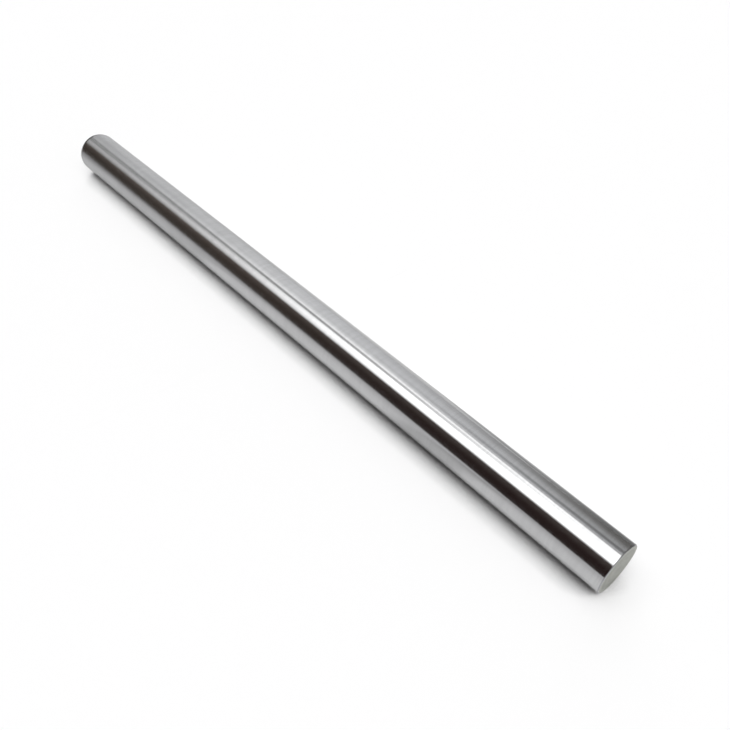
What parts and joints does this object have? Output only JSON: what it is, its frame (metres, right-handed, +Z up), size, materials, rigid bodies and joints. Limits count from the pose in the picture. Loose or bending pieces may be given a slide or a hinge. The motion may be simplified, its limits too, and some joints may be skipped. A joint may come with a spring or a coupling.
{
  "type": "rail shaft",
  "caption": "Straight round steel shaft, ground and hard-chrome plated, one end plain and the other with a shallow lead-in cut, for linear bearings to run on.",
  "frame": {"origin": "on the floor that the shaft lies on, under the middle of its length", "axes": "+X along the shaft, towards the plain end, which is the nearer one in the picture; +Z up"},
  "size_m": [0.5, 0.03, 0.03],
  "materials": {
    "shaft": "ground and polished hard chrome, with plain matte faced ends"
  },
  "bodies": {
    "root": {"shaft": "shaft"}
  },
  "joints": []
}
